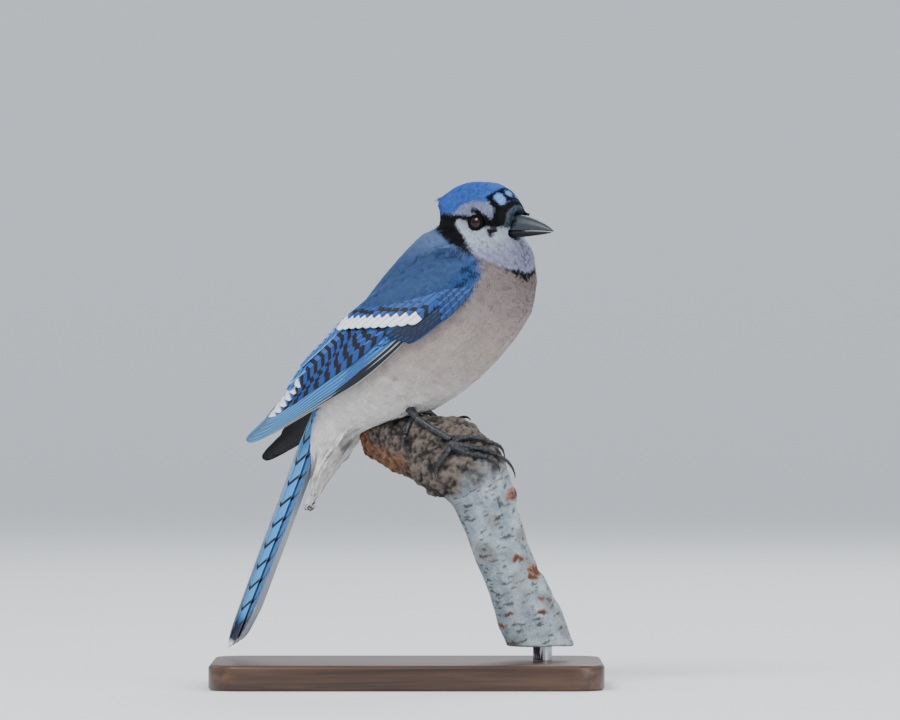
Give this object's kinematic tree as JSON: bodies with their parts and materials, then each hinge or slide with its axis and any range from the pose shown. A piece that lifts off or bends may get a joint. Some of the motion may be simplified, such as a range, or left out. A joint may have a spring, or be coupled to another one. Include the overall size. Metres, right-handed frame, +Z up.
{
  "type": "perched blue jay model",
  "caption": "Life-size still model of a blue jay that sits on a cut length of branch, with its head turned, on a flat base with one rod.",
  "frame": {"origin": "middle of the base's underside, on the floor", "axes": "+Z up; +X the way the bird's body mostly faces, with its body turned 15 degrees and its head 38 degrees from +X towards -Y; the picture looks along +Y"},
  "size_m": [0.184, 0.104, 0.2377],
  "materials": {
    "crown_feathers": "matte",
    "body_feathers": "matte",
    "wing_feathers": "satin",
    "tail_feathers": "satin",
    "bill_horn": "satin",
    "claw_horn": "satin",
    "eye": "wet",
    "scaled_skin": "satin",
    "bark": "matte",
    "oiled_wood": "oiled",
    "steel": "brushed"
  },
  "bodies": {
    "root": {"head": "crown_feathers", "bill_upper": "bill_horn", "bill_lower": "bill_horn", "eye_right": "eye", "eye_left": "eye", "neck": "body_feathers", "torso": "body_feathers", "wing_right": "wing_feathers", "wing_left": "wing_feathers", "tail": "tail_feathers", "leg_right": "scaled_skin", "foot_right": "scaled_skin", "claw_right_1": "claw_horn", "claw_right_2": "claw_horn", "claw_right_3": "claw_horn", "claw_right_4": "claw_horn", "leg_left": "scaled_skin", "foot_left": "scaled_skin", "claw_left_1": "claw_horn", "claw_left_2": "claw_horn", "claw_left_3": "claw_horn", "claw_left_4": "claw_horn", "perch": "bark", "stand_base": "oiled_wood", "stand_rod": "steel"}
  },
  "joints": []
}
